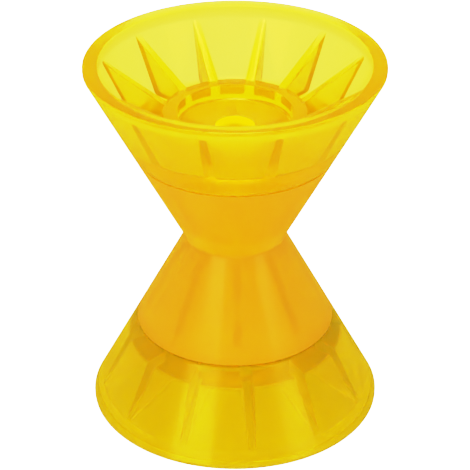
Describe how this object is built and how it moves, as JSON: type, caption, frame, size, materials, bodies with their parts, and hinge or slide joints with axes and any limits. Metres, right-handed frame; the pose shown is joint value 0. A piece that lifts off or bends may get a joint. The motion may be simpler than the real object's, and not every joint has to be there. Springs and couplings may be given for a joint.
{
  "type": "boat trailer roller",
  "caption": "Hourglass bow roller for a boat trailer with a flared, ribbed end bell at each end, all turning on one through bore, in translucent amber plastic.",
  "frame": {"origin": "centre of the shaft bore at the roller's waist", "axes": "+Z along the bore, towards the upper bell; +X and +Y across it"},
  "size_m": [0.1082, 0.1082, 0.1382],
  "materials": {
    "roller_amber": "satin translucent amber, hazy in its thickness",
    "bell_amber": "smooth translucent yellow, amber where it is thick"
  },
  "bodies": {
    "roller": {"bow_roller": "roller_amber"},
    "upper_bell_body": {"upper_bell": "bell_amber"},
    "lower_bell_body": {"lower_bell": "bell_amber"}
  },
  "joints": [
    {"name": "upper_bell_spin", "type": "hinge", "parent": "roller", "child": "upper_bell_body", "pos_m": [0, 0, 0.04], "axis": [0, 0, 1], "continuous": true},
    {"name": "lower_bell_spin", "type": "hinge", "parent": "roller", "child": "lower_bell_body", "pos_m": [0, 0, -0.04], "axis": [0, 0, 1], "continuous": true}
  ]
}
